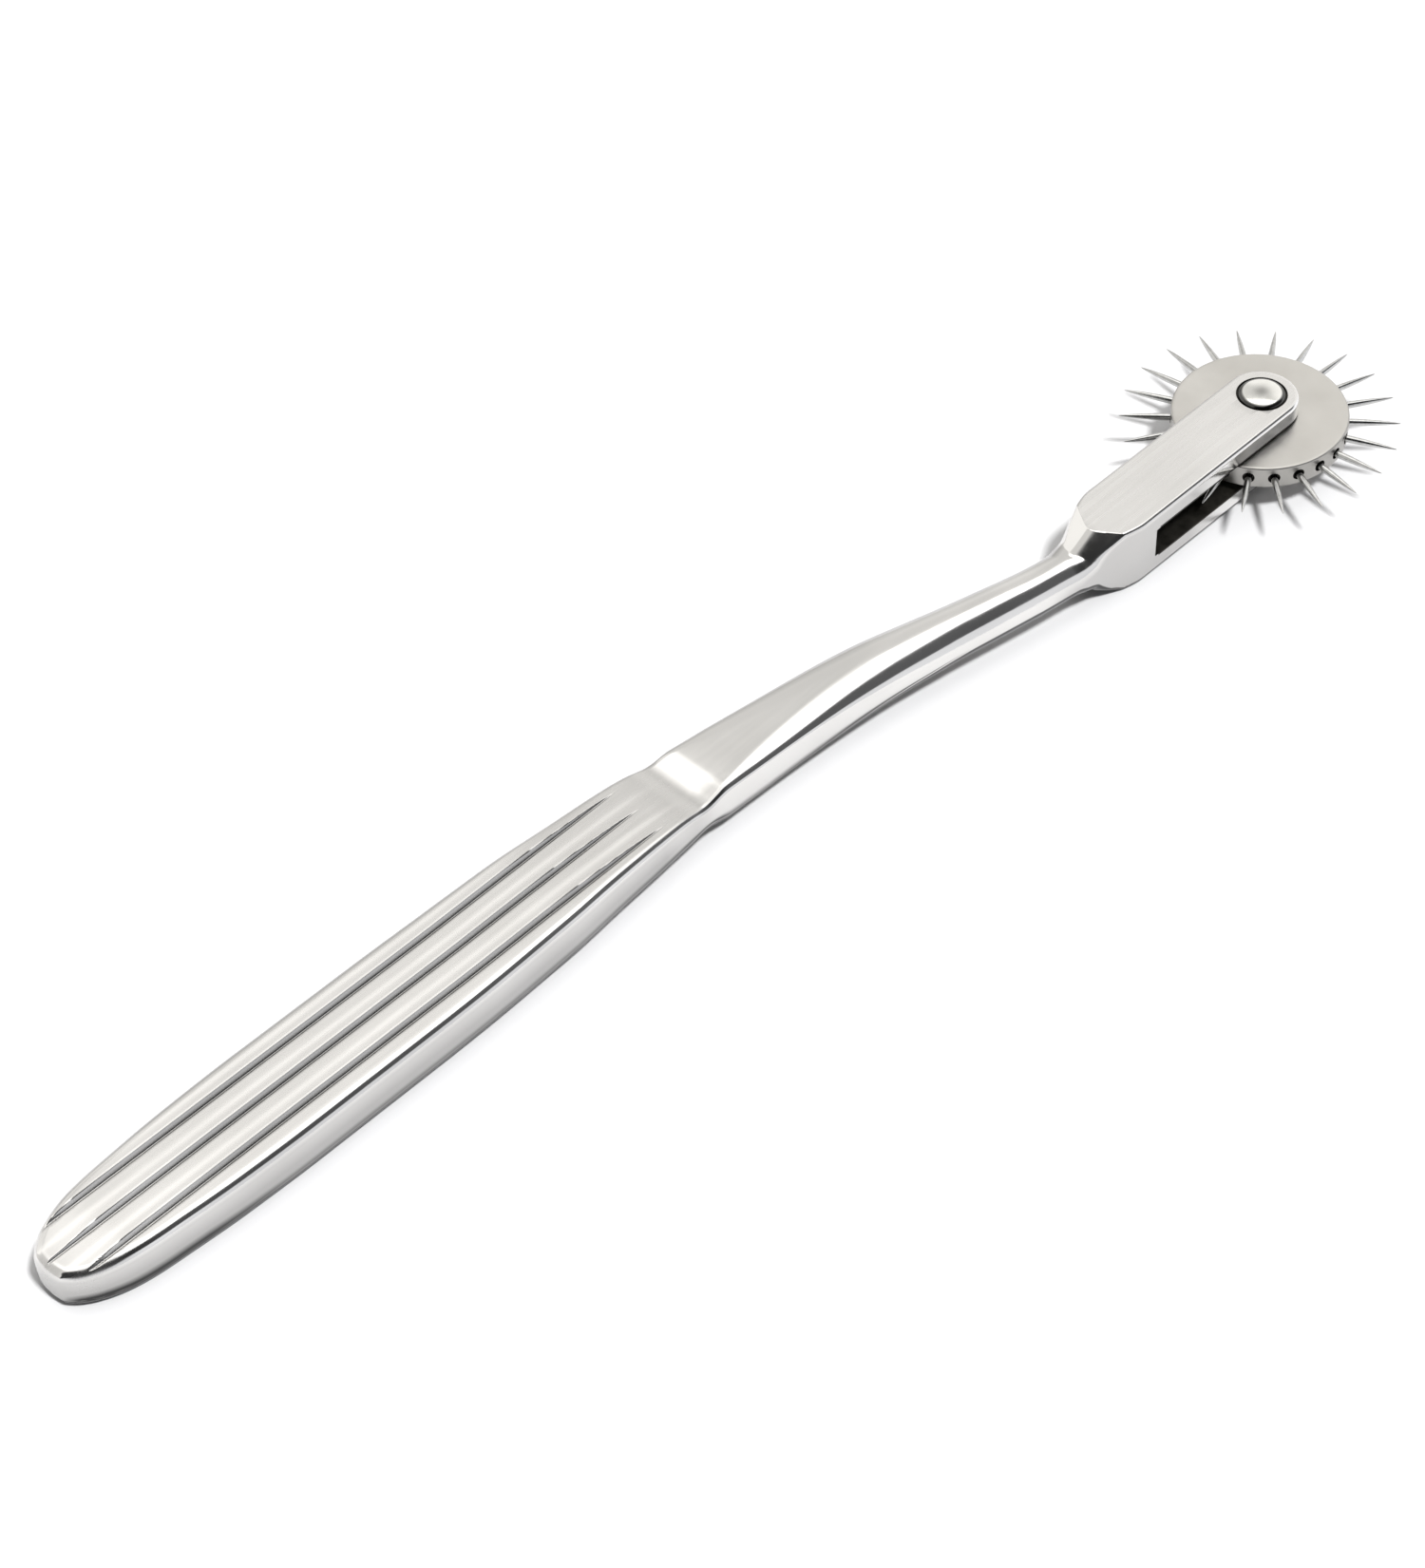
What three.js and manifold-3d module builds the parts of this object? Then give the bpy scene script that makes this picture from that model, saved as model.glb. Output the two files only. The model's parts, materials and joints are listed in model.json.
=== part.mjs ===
// A steel neurological pinwheel, lying flat: a ribbed handle drawn out into a neck that
// carries a fork, a wheel of radial pins that turns in the fork, and the rivet it turns on.
// Millimetres, +Z up. +X runs from the handle's end to the wheel, +Z is the wheel's axis.
// The origin is under the middle of the whole length, in line with the wheel's axis, at the
// height of the lower rivet head. The piece is the same above and below its middle plane.

import * as THREE from "three";
import { mergeVertices } from "three/addons/utils/BufferGeometryUtils.js";
import Module from "manifold-3d";

const wasm = await Module();
wasm.setup();

// ---------------------------------------------------------------- driving dimensions

const LENGTH = 191.1; // handle's end to the farthest pin tip
const TIP_RADIUS = 16.4; // wheel's axis to a pin's tip
const AXLE_FROM_END = LENGTH - TIP_RADIUS;
const END_X = -LENGTH / 2;
const END_REACH = 0.7; // the handle's end lies this far before the zero of its outline's distances
const OUTLINE_X = END_X + END_REACH;
const AXLE_X = END_X + AXLE_FROM_END;
const HANDLE_AXIS_Y = 7.9; // the neck's bend sets the handle's axis this far from the wheel's

const FORK_THICKNESS = 8.6;
const FORK_HALF_WIDTH = 4.35;
const SLOT_WIDTH = 4;
const SLOT_END_FROM_AXLE = 24.2;
const HEAD_HEIGHT = 0.5; // a rivet head above its ear
const MID_Z = FORK_THICKNESS / 2 + HEAD_HEIGHT;
const WHEEL_LIFT = 0.4; // the wheel stands this far above the middle of the slot
const WHEEL_Z = MID_Z + WHEEL_LIFT;

const GROOVE_PITCH = 3.62;
const GROOVES_EACH_SIDE_OF_CENTRE = 1;
const GROOVE_BOTTOM = 2.45; // above the middle plane
const GROOVE_BOTTOM_HALF_WIDTH = 0.12;
const GROOVE_TOP = 3.25; // above the middle plane, clear of the face
const GROOVE_TOP_HALF_WIDTH = 0.78;
const GROOVE_LENGTH = 78.7;

const DISC_RADIUS = 10.35;
const DISC_THICKNESS = 2.8;
const DISC_CHAMFER = 0.2;
const PIN_COUNT = 22;
const FIRST_PIN_ANGLE = THREE.MathUtils.degToRad(-1.4);
const PIN_RADIUS = 0.42;
const PIN_SHOULDER = 11; // from the wheel's axis: the pin tapers from here
const PIN_ROOT = 7.05; // from the wheel's axis: the pin's inner end
const PIN_HOLE_RADIUS = 0.48;
const PIN_HOLE_BOTTOM = 7;
const COUNTERBORE_RADIUS = 0.62;
const COUNTERBORE_BOTTOM = 9.95;
// Along the taper: [share of its length, share of the pin's radius].
const PIN_TAPER = [[0.5, 0.72], [0.86, 0.34]];

const RIVET_RADIUS = 1.5;
const RIVET_HOLE_RADIUS = 1.6; // in both ears and in the disc: a running fit
const RIVET_HEAD_RADIUS = 2.72;
const RIVET_HEAD_EDGE = 0.15; // height of the head's upright edge
const HEAD_DOME_STEPS = [0.85, 0.6, 0.3]; // shares of the head's radius
const HEAD_GAP = 0.03; // between a head and its ear

const ROUND_SEGMENTS = 24; // around the rivet and its holes
const PIN_SEGMENTS = 10;
const DISC_SEGMENTS = 2 * PIN_COUNT; // a flat facet under each pin
const CORNER_STEPS = 6; // around each corner of the handle's section
const PAST = 2; // how far a cutter runs past what it cuts

// ---------------------------------------------------------------- the handle's outline

// Half width, half thickness and sideways set of the section, each as a smooth curve through
// a few points [distance from OUTLINE_X, value].
const HALF_WIDTH = [
  [0, 5.7], [7, 5.8], [19, 6.5], [28, 6.7], [44, 6.7], [63, 6.3], [72, 5.7], [80, 5.2],
  [89, 4.5], [103, 3.9], [113, 3.75], [129, 3.1], [137, 2.8], [141.5, 2.95],
  [148, FORK_HALF_WIDTH],
];
const HALF_THICKNESS = [
  [0, 2.5], [7, 2.8], [14, 2.85], [62, 2.85], [75, 2.55], [80.6, 2.25], [82.4, 2.08],
  [84.8, 1.72], [87.8, 2.4], [98, 2.62], [110, 2.85], [129, 2.65], [138, 2.5], [140, 2.75], [142, 3.75],
  [143.4, FORK_THICKNESS / 2],
];
const SIDE_SET = [
  [0, 0], [50, 0], [63, 0.15], [80, 0.3], [89, -0.2], [104, -1.45], [112, -2.4], [120, -4.0],
  [128, -5.8], [136, -7.45], [141, -8.05], [147, -HANDLE_AXIS_Y],
];

// A corner of the section is a quarter ellipse that takes up this share of the half width and of
// the half thickness: none on the ribbed handle, all of it on the neck, which is oval.
const ROUNDNESS = [[0, 0], [72, 0], [89, 0.45], [105, 0.85], [113, 1], [138, 1], [145, 0.14]];
const LEAST_CORNER = 0.5;
const LEAST_FLAT = 0.04; // shortest half of a straight side between two corners

// The handle's end is rounded in plan: a blunt superellipse over its first stretch.
const END_ROUND_LENGTH = 11.8;
const END_ROUND_START = 0.3;
const END_ROUND_POWERS = [2.3, 2.1];

// Distances from OUTLINE_X at which a section is placed.
const STATIONS = [
  -END_REACH, -0.3, 0.3, 1.2, 2.4, 4, 5.5, 7.5, 9.5, 11.5, 14.5, 18, 23, 28, 44, 52, 60, 65, 70, 72.5, 75, 77,
  79, 80.6, 82.4, 84, 84.8, 85.8, 87, 88, 91, 96, 101, 105, 109, 113, 117, 121, 125, 129, 133, 136,
  138, 139.2, 140.4, 141.4, 142.4, 143.4, 144.4, 145.5, 147,
  AXLE_X - OUTLINE_X + FORK_HALF_WIDTH + PAST,
];

// A monotone cubic through a few points, level before the first and after the last.
function curveThrough(points) {
  const last = points.length - 1;
  const slopes = points.slice(1).map(([x, y], i) => (y - points[i][1]) / (x - points[i][0]));
  const tangents = points.map((_, i) => {
    if (i === 0 || i === last || slopes[i - 1] * slopes[i] <= 0) return 0;
    return (2 * slopes[i - 1] * slopes[i]) / (slopes[i - 1] + slopes[i]);
  });
  return (x) => {
    if (x <= points[0][0]) return points[0][1];
    if (x >= points[last][0]) return points[last][1];
    const i = points.findIndex((point) => point[0] > x) - 1;
    const span = points[i + 1][0] - points[i][0];
    const t = (x - points[i][0]) / span;
    const rise = points[i + 1][1] - points[i][1];
    const a = span * tangents[i];
    const b = span * tangents[i + 1];
    return points[i][1] + t * (a + t * (3 * rise - 2 * a - b + t * (a + b - 2 * rise)));
  };
}

const halfWidth = curveThrough(HALF_WIDTH);
const halfThickness = curveThrough(HALF_THICKNESS);
const roundness = curveThrough(ROUNDNESS);
const sideSet = curveThrough(SIDE_SET);

function endRounding(distance) {
  const t = Math.min(1, (distance + END_REACH + END_ROUND_START) / END_ROUND_LENGTH);
  const [inner, outer] = END_ROUND_POWERS;
  return (1 - (1 - t) ** inner) ** (1 / outer);
}

// How much of a half side a corner takes up.
function cornerOf(halfSide, share) {
  return Math.min(Math.max(LEAST_CORNER, share * halfSide), halfSide - LEAST_FLAT);
}

// One section across the handle: a rectangle with round corners, anticlockwise seen from +X.
function section(distance) {
  const width = halfWidth(distance) * endRounding(distance);
  const thickness = halfThickness(distance);
  const cornerY = cornerOf(width, roundness(distance));
  const cornerZ = cornerOf(thickness, roundness(distance));
  const points = [];
  for (let corner = 0; corner < 4; corner += 1) {
    const signY = corner === 0 || corner === 3 ? 1 : -1;
    const signZ = corner < 2 ? 1 : -1;
    for (let step = 0; step <= CORNER_STEPS; step += 1) {
      const angle = (Math.PI / 2) * (corner + step / CORNER_STEPS);
      const y = signY * (width - cornerY) + cornerY * Math.cos(angle);
      const z = signZ * (thickness - cornerZ) + cornerZ * Math.sin(angle);
      points.push([OUTLINE_X + distance, HANDLE_AXIS_Y + sideSet(distance) + y, MID_Z + z]);
    }
  }
  return points;
}

// ---------------------------------------------------------------- solids

// A skin over a row of sections with as many points each, closed at both ends.
function loft(sections) {
  const around = sections[0].length;
  const positions = sections.flat(2);
  const index = [];
  for (let ring = 0; ring < sections.length - 1; ring += 1) {
    for (let i = 0; i < around; i += 1) {
      const a = ring * around + i;
      const b = ring * around + ((i + 1) % around);
      index.push(a, b, b + around, a, b + around, a + around);
    }
  }
  const lastRing = (sections.length - 1) * around;
  for (let i = 1; i < around - 1; i += 1) {
    index.push(0, i + 1, i);
    index.push(lastRing, lastRing + i, lastRing + i + 1);
  }
  const geometry = new THREE.BufferGeometry();
  geometry.setAttribute("position", new THREE.Float32BufferAttribute(positions, 3));
  geometry.setIndex(index);
  return geometry;
}

function toSolid(geometry) {
  const bare = geometry.clone();
  bare.deleteAttribute("normal");
  bare.deleteAttribute("uv");
  const merged = mergeVertices(bare, 1e-4);
  return new wasm.Manifold(new wasm.Mesh({
    numProp: 3,
    vertProperties: new Float32Array(merged.attributes.position.array),
    triVerts: new Uint32Array(merged.index.array),
  }));
}

function toGeometry(solid) {
  const mesh = solid.getMesh();
  const geometry = new THREE.BufferGeometry();
  geometry.setAttribute("position", new THREE.BufferAttribute(mesh.vertProperties, 3));
  geometry.setIndex(new THREE.BufferAttribute(mesh.triVerts, 1));
  geometry.computeVertexNormals();
  return geometry;
}

// A turned solid about +Y from [radius, height] pairs that start and end on the axis,
// or close on themselves.
function turned(profile, segments) {
  return new THREE.LatheGeometry(profile.map(([r, h]) => new THREE.Vector2(r, h)), segments);
}

// Moves what is built about +Y at the origin onto the wheel's axis, level with the fork.
function onAxle(geometry) {
  return geometry.rotateX(Math.PI / 2).translate(AXLE_X, 0, MID_Z);
}

// A groove's cutter: a straight bar of tapered section, above (+1) or below (-1) the handle.
function grooveCutter(offset, side) {
  const outline = new THREE.Shape();
  outline.moveTo(-GROOVE_TOP_HALF_WIDTH, GROOVE_TOP * side);
  outline.lineTo(-GROOVE_BOTTOM_HALF_WIDTH, GROOVE_BOTTOM * side);
  outline.lineTo(GROOVE_BOTTOM_HALF_WIDTH, GROOVE_BOTTOM * side);
  outline.lineTo(GROOVE_TOP_HALF_WIDTH, GROOVE_TOP * side);
  const depth = GROOVE_LENGTH + PAST;
  const bar = new THREE.ExtrudeGeometry(outline, { depth, bevelEnabled: false });
  bar.rotateX(Math.PI / 2).rotateZ(Math.PI / 2);
  return bar.translate(END_X - PAST, HANDLE_AXIS_Y + offset, MID_Z);
}

// The waste outside the fork's round tip.
function tipCutter() {
  const outline = new THREE.Shape();
  const outside = FORK_HALF_WIDTH + PAST;
  outline.moveTo(0, -outside);
  outline.lineTo(2 * outside, -outside);
  outline.lineTo(2 * outside, outside);
  outline.lineTo(0, outside);
  outline.absarc(0, 0, FORK_HALF_WIDTH, Math.PI / 2, -Math.PI / 2, true);
  const depth = FORK_THICKNESS + 2 * PAST;
  const curveSegments = ROUND_SEGMENTS / 2;
  const waste = new THREE.ExtrudeGeometry(outline, { depth, curveSegments, bevelEnabled: false });
  return waste.translate(AXLE_X, 0, MID_Z - depth / 2);
}

function slotCutter() {
  const length = SLOT_END_FROM_AXLE + FORK_HALF_WIDTH + PAST;
  const width = 2 * (FORK_HALF_WIDTH + PAST);
  const slot = new THREE.BoxGeometry(length, width, SLOT_WIDTH);
  return slot.translate(AXLE_X - SLOT_END_FROM_AXLE + length / 2, 0, MID_Z);
}

function rivetHoleCutter() {
  const height = FORK_THICKNESS + 2 * PAST;
  const radius = RIVET_HOLE_RADIUS;
  return onAxle(new THREE.CylinderGeometry(radius, radius, height, ROUND_SEGMENTS));
}

function handleAndFork() {
  let solid = toSolid(loft(STATIONS.map(section)));
  for (let row = -GROOVES_EACH_SIDE_OF_CENTRE; row <= GROOVES_EACH_SIDE_OF_CENTRE; row += 1) {
    for (const side of [1, -1]) {
      solid = solid.subtract(toSolid(grooveCutter(row * GROOVE_PITCH, side)));
    }
  }
  for (const cutter of [tipCutter(), slotCutter(), rivetHoleCutter()]) {
    solid = solid.subtract(toSolid(cutter));
  }
  return toGeometry(solid);
}

function pinAngle(index) {
  return FIRST_PIN_ANGLE + (2 * Math.PI * index) / PIN_COUNT;
}

// The disc is built about its own centre, flat in X and Y.
function wheelDisc() {
  const half = DISC_THICKNESS / 2;
  const profile = [
    [RIVET_HOLE_RADIUS, -half],
    [DISC_RADIUS - DISC_CHAMFER, -half],
    [DISC_RADIUS, DISC_CHAMFER - half],
    [DISC_RADIUS, half - DISC_CHAMFER],
    [DISC_RADIUS - DISC_CHAMFER, half],
    [RIVET_HOLE_RADIUS, half],
    [RIVET_HOLE_RADIUS, -half],
  ];
  const blank = turned(profile, DISC_SEGMENTS).rotateX(Math.PI / 2);
  let solid = toSolid(blank.rotateZ(FIRST_PIN_ANGLE + Math.PI / DISC_SEGMENTS));
  const hole = turned([
    [0, PIN_HOLE_BOTTOM],
    [PIN_HOLE_RADIUS, PIN_HOLE_BOTTOM],
    [PIN_HOLE_RADIUS, COUNTERBORE_BOTTOM],
    [COUNTERBORE_RADIUS, COUNTERBORE_BOTTOM],
    [COUNTERBORE_RADIUS, DISC_RADIUS + PAST],
    [0, DISC_RADIUS + PAST],
  ], PIN_SEGMENTS);
  for (let i = 0; i < PIN_COUNT; i += 1) {
    solid = solid.subtract(toSolid(hole.clone().rotateZ(pinAngle(i) - Math.PI / 2)));
  }
  return toGeometry(solid);
}

// A pin stands along +Y, with the wheel's axis at its origin.
function pin() {
  const length = TIP_RADIUS - PIN_SHOULDER;
  return turned([
    [0, PIN_ROOT],
    [PIN_RADIUS, PIN_ROOT],
    [PIN_RADIUS, PIN_SHOULDER],
    ...PIN_TAPER.map(([along, share]) => [share * PIN_RADIUS, PIN_SHOULDER + along * length]),
    [0, TIP_RADIUS],
  ], PIN_SEGMENTS);
}

// The rivet: a shank with a low domed head outside each ear.
function rivet() {
  const underHead = FORK_THICKNESS / 2 + HEAD_GAP;
  const crown = FORK_THICKNESS / 2 + HEAD_HEIGHT;
  const edge = underHead + RIVET_HEAD_EDGE;
  const upperHalf = [
    [RIVET_RADIUS, underHead],
    [RIVET_HEAD_RADIUS, underHead],
    [RIVET_HEAD_RADIUS, edge],
  ];
  for (const share of HEAD_DOME_STEPS) {
    upperHalf.push([RIVET_HEAD_RADIUS * share, crown - (crown - edge) * share ** 2]);
  }
  upperHalf.push([0, crown]);
  const lowerHalf = upperHalf.map(([r, h]) => [r, -h]).reverse();
  return turned([...lowerHalf, ...upperHalf], ROUND_SEGMENTS);
}

// ---------------------------------------------------------------- the assembly

function steel(color, roughness) {
  return new THREE.MeshStandardMaterial({ color, roughness, metalness: 1 });
}

const forgedSteel = steel(0xd6d5d0, 0.3);
const turnedSteel = steel(0xc6c4bf, 0.4);
const pinSteel = steel(0xb9b9b8, 0.2);
const rivetSteel = steel(0xd9d9d6, 0.2);

function named(name, geometry, material) {
  const mesh = new THREE.Mesh(geometry, material);
  mesh.name = name;
  return mesh;
}

const pinwheel = new THREE.Group();
pinwheel.add(named("handle_and_fork", handleAndFork(), forgedSteel));
pinwheel.add(named("axle_rivet", onAxle(rivet()), rivetSteel));

const wheel = new THREE.Group();
wheel.position.set(AXLE_X, 0, WHEEL_Z);
wheel.add(named("wheel_disc", wheelDisc(), turnedSteel));
for (let i = 0; i < PIN_COUNT; i += 1) {
  const mesh = named(`pin_${String(i + 1).padStart(2, "0")}`, pin(), pinSteel);
  mesh.rotation.z = pinAngle(i) - Math.PI / 2;
  wheel.add(mesh);
}
pinwheel.add(wheel);

export default pinwheel;
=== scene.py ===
"""A steel neurological pinwheel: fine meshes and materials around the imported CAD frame.

Shapes are worked out in millimetres in the row frame and turned into metres as each mesh is made.
"""

import json
import math

import bmesh
import bpy
import numpy as np
from mathutils import Matrix, Vector


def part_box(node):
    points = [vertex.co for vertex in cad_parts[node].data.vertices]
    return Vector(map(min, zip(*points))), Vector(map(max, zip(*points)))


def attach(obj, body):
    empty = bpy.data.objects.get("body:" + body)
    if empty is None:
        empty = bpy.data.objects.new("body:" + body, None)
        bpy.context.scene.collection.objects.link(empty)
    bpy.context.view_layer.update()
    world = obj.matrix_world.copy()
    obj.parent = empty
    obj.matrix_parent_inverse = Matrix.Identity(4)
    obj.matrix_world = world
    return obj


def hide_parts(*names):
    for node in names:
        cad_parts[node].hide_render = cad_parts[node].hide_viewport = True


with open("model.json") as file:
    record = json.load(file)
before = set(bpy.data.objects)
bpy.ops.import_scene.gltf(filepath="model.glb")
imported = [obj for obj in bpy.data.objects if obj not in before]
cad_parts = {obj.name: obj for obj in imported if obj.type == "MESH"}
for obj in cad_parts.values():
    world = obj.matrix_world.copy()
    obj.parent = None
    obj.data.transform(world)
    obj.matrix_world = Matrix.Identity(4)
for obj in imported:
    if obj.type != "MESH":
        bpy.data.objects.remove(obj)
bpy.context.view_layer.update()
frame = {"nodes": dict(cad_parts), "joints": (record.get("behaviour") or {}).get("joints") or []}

MM = 0.001
QUARTER_TURN = math.pi / 2

# ------------------------------------------------------------------ sizes, from the frame


def box_mm(node):
    low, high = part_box(node)
    return np.array(low) / MM, np.array(high) / MM


FORGING_LOW, FORGING_HIGH = box_mm("handle_and_fork")
DISC_LOW, DISC_HIGH = box_mm("wheel_disc")
RIVET_LOW, RIVET_HIGH = box_mm("axle_rivet")
AXLE = np.array(frame["joints"][0]["pos_m"]) / MM
PIN_COUNT = sum(1 for name in frame["nodes"] if name.startswith("pin_"))

# Distances along the forging are measured from OUTLINE_X, a little inside the handle's end.
END_REACH = 0.7
OUTLINE_X = FORGING_LOW[0] + END_REACH
AXLE_AT = AXLE[0] - OUTLINE_X
MID_Z = (FORGING_LOW[2] + FORGING_HIGH[2]) / 2
HANDLE_AXIS_Y = 7.9

FORK_RADIUS = FORGING_HIGH[0] - AXLE[0]
FORK_HALF_THICKNESS = (FORGING_HIGH[2] - FORGING_LOW[2]) / 2
SLOT_WIDTH = 4.0
SLOT_END_FROM_AXLE = 24.2
SLOT_X = AXLE[0] - SLOT_END_FROM_AXLE
RIVET_HOLE_RADIUS = 1.6

DISC_RADIUS = (DISC_HIGH[1] - DISC_LOW[1]) / 2
DISC_HALF = (DISC_HIGH[2] - DISC_LOW[2]) / 2
HEAD_RADIUS = (RIVET_HIGH[1] - RIVET_LOW[1]) / 2
HEAD_CROWN = (RIVET_HIGH[2] - RIVET_LOW[2]) / 2

# ------------------------------------------------------------------ the forging's outline

# Each curve goes through pairs of (distance from OUTLINE_X, value).
HALF_WIDTH = [
    (0, 5.7), (7, 5.8), (19, 6.5), (28, 6.7), (44, 6.7), (63, 6.3), (72, 5.7), (80, 5.2),
    (89, 4.5), (103, 3.9), (113, 3.75), (129, 3.1), (137, 2.8), (141.5, 2.95),
    (148, FORK_RADIUS),
]
HALF_THICKNESS = [
    (0, 2.5), (7, 2.8), (14, 2.85), (62, 2.85), (75, 2.55), (80.6, 2.25), (82.4, 2.08),
    (84.9, 1.74), (85.6, 1.80), (86.8, 2.11), (88.0, 2.42), (88.4, 2.45), (98, 2.62),
    (110, 2.85), (129, 2.65), (138, 2.5),
]
SIDE_SET = [
    (0, 0), (50, 0), (63, 0.15), (80, 0.3), (89, -0.2), (104, -1.45), (112, -2.4), (120, -4.0),
    (128, -5.8), (136, -7.45), (141, -8.05), (147, -HANDLE_AXIS_Y),
]
# The share of the half width, and of the half thickness, that the rounded corner takes.
ROUNDNESS = [
    (0, 0), (72, 0), (84, 0.1), (89, 0.28), (96, 0.6), (105, 0.85), (113, 1), (138, 1),
    (143.6, 0.12),
]
CORNER_RISE = [
    (0, 0), (72, 0), (89, 0.28), (100, 0.42), (113, 0.72), (126, 1), (138, 1), (143.6, 0.12),
]
LEAST_CORNER = [(0, 1.15), (66, 1.15), (80, 0.95), (130, 0.6), (145, 0.5)]
LEAST_FLAT = 0.04

# The ramp up to the fork is straight, with a rounded foot, and bowed in plan.
RAMP_START = 132.0
RAMP_SLOPE = 0.57
RAMP_TOP = 142.85
RAMP_FOOT_ROUND = 0.12
RAMP_BOW = 0.7
RAMP_BOW_ROUND = 0.6

# The handle's end is nearly an ellipse in plan, with a small cap that closes it.
END_ROUND_LENGTH = 11.8
END_ROUND_START = 0.3
END_ROUND_POWERS = (2.3, 2.1)
CAP_ROUND = 0.3
END_REGION = 14.0

# Three V grooves run along each face of the handle.
GROOVE_PITCH = 3.62
GROOVE_FLOOR = 2.33
GROOVE_FLOOR_ROUND = 0.17
GROOVE_SLOPE = 1.5
GROOVE_LIP = 0.08
GROOVE_LIP_FADE = 0.3
LEAST_LIP = 0.4
GROOVES_END = 83.0

# The upright sides bulge a little, less near the ramp, on narrow sections and on thin ones.
SIDE_CROWN = 0.12
SIDE_CROWN_FADE = 10.0
CROWNED_FROM_WIDTH = 3.0
CROWNED_FROM_HEIGHT = 1.2

# ------------------------------------------------------------------ how finely it is drawn

# Stretches of the forging between its two rounded ends: start, stop and the step between sections.
SECTION_STEPS = [
    (END_REGION + 1, 66, 1.25), (66, 92, 0.4), (92, 136, 0.7), (136, 142.7, 0.15),
    (142.7, 145.7, 0.05), (145.7, 149, 0.3), (149, AXLE_AT, 1.4),
]
END_SECTIONS = 44
TIP_SECTIONS = 40

# A section's points keep to these distances from the axis, so that they run along the grooves.
KNOTS = np.array([0, 0.9, GROOVE_PITCH - 0.9, GROOVE_PITCH, GROOVE_PITCH + 0.9])
KNOTS_TO_EDGE = 0.5
KNOT_COUNTS = (14, 8, 14, 14, 33)
GROOVE_DENSITY = 2.5
GROOVE_NEAR = 0.45
QUARTER_POINTS = sum(KNOT_COUNTS) + 1
FINE_POINTS = 700
FINE_SIDE_POINTS = 60
LEAN_STEP = 0.01
LEAST_COSINE = 0.05
NOTHING = 1e-9

# Fine outlines of the two ends in plan, and a fine table along the whole forging.
END_OUTLINE_POINTS = 260
TIP_OUTLINE_POINTS = 200
PAST_END_REGION = 4
TABLE_END = 200
TABLE_POINTS = 8001


def curve_through(points):
    """A monotone cubic through a few points, level before the first and after the last."""
    xs = np.array([p[0] for p in points], float)
    ys = np.array([p[1] for p in points], float)
    slopes = np.diff(ys) / np.diff(xs)
    tangents = np.zeros(len(xs))
    for i in range(1, len(xs) - 1):
        if slopes[i - 1] * slopes[i] > 0:
            tangents[i] = 2 * slopes[i - 1] * slopes[i] / (slopes[i - 1] + slopes[i])

    def value(x):
        if x <= xs[0]:
            return ys[0]
        if x >= xs[-1]:
            return ys[-1]
        i = int(np.searchsorted(xs, x, side="right")) - 1
        span = xs[i + 1] - xs[i]
        t = (x - xs[i]) / span
        rise = ys[i + 1] - ys[i]
        a = span * tangents[i]
        b = span * tangents[i + 1]
        return ys[i] + t * (a + t * (3 * rise - 2 * a - b + t * (a + b - 2 * rise)))

    return value


half_width = curve_through(HALF_WIDTH)
body_half_thickness = curve_through(HALF_THICKNESS)
side_set = curve_through(SIDE_SET)
roundness = curve_through(ROUNDNESS)
corner_rise = curve_through(CORNER_RISE)
least_corner = curve_through(LEAST_CORNER)


def half_thickness(d):
    """Half the thickness on the centre line: the neck's, then a straight ramp up to the fork's."""
    neck = body_half_thickness(d)
    foot = RAMP_TOP - (FORK_HALF_THICKNESS - HALF_THICKNESS[-1][1]) / RAMP_SLOPE
    past = d - foot
    climb = (past + math.sqrt(past**2 + RAMP_FOOT_ROUND**2)) / 2
    return min(FORK_HALF_THICKNESS, neck + RAMP_SLOPE * climb)


def plan_half_width(d):
    """Half the forging's width at a distance from OUTLINE_X, both ends rounded."""
    if d >= AXLE_AT:
        return math.sqrt(max(0.0, FORK_RADIUS**2 - (d - AXLE_AT) ** 2))
    from_end = max(d + END_REACH, 0.0)
    t = min(1.0, (from_end + END_ROUND_START) / END_ROUND_LENGTH)
    inner, outer = END_ROUND_POWERS
    width = half_width(d) * (1 - (1 - t) ** inner) ** (1 / outer)
    if from_end < CAP_ROUND:
        width *= math.sqrt(max(0.0, 1 - (1 - from_end / CAP_ROUND) ** 2))
    return width


def toward_end(low, high, count):
    """Distances from low to high that crowd towards low, as on a quarter of a circle."""
    return low + (high - low) * (1 - np.cos(np.linspace(0, QUARTER_TURN, count)))


def toward_tip(low, high, count):
    """Distances from low to high that crowd towards high, as on a quarter of a circle."""
    return low + (high - low) * np.sin(np.linspace(0, QUARTER_TURN, count))


def stations():
    """Distances from OUTLINE_X at which a section is placed, closer where it changes."""
    end = toward_end(-END_REACH, END_REGION, END_SECTIONS)
    between = [np.arange(start, stop, step) for start, stop, step in SECTION_STEPS]
    tip = AXLE_AT + toward_tip(0, FORK_RADIUS, TIP_SECTIONS)
    return np.concatenate([end, *between, tip])


def outline_at(distances):
    return np.array([(d, plan_half_width(d)) for d in distances])


END_OUTLINE = outline_at(
    toward_end(-END_REACH, END_REGION + PAST_END_REGION, END_OUTLINE_POINTS)
)
TIP_OUTLINE = outline_at(toward_tip(AXLE_AT, AXLE_AT + FORK_RADIUS, TIP_OUTLINE_POINTS))


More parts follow.
